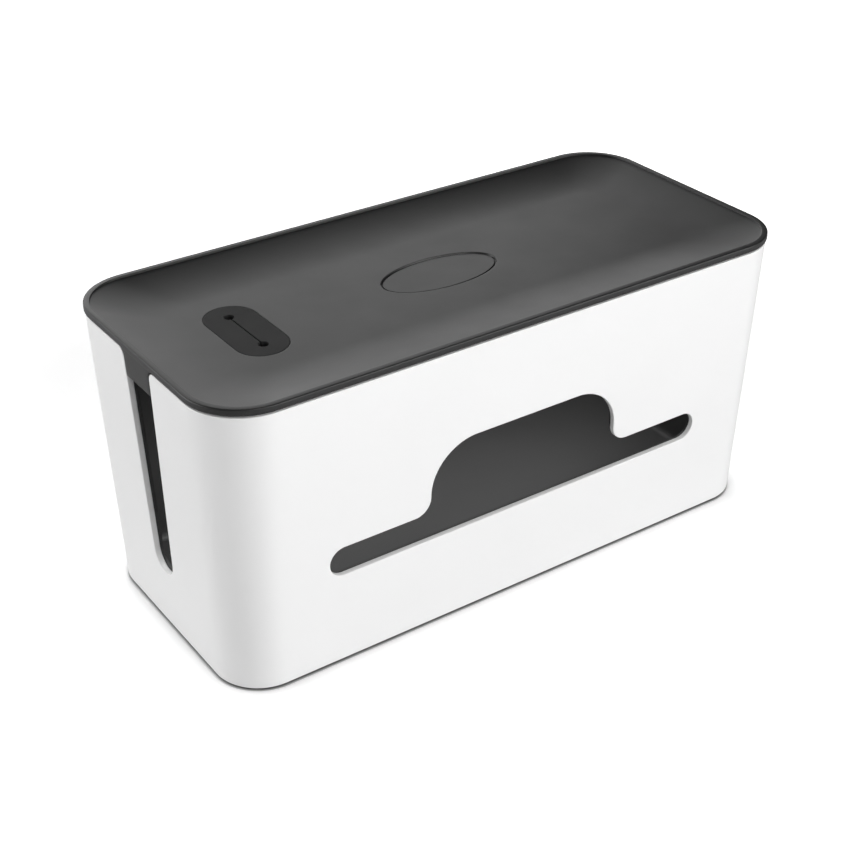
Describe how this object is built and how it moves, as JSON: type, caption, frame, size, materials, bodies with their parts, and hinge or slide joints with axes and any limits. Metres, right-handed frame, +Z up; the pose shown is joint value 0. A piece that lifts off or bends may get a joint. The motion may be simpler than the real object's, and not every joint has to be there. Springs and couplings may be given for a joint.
{
  "type": "cable management box",
  "caption": "Long rounded box that hides a power strip, with a dished lift-off lid, a grommet for cables, slots in its ends and a stepped window in one side.",
  "frame": {"origin": "middle of the box on the surface that its feet stand on", "axes": "+Z up, +X along the length away from the grommet, -Y the long side with the window"},
  "size_m": [0.27, 0.125, 0.1272],
  "materials": {
    "white_shell": "satin moulded ABS, faint gloss",
    "dark_liner": "fine moulded texture",
    "grey_lid": "satin moulded ABS",
    "grommet_rubber": "smooth soft rubber",
    "foot_rubber": "matt rubber"
  },
  "bodies": {
    "box": {"outer_shell": "white_shell", "inner_liner": "dark_liner", "foot_window_left": "foot_rubber", "foot_window_right": "foot_rubber", "foot_back_left": "foot_rubber", "foot_back_right": "foot_rubber"},
    "lid_assembly": {"lid": "grey_lid", "cable_grommet": "grommet_rubber"}
  },
  "joints": [
    {"name": "lid_lift", "type": "slide", "parent": "box", "child": "lid_assembly", "axis": [0, 0, 1], "range_m": [0, 0.06]}
  ]
}
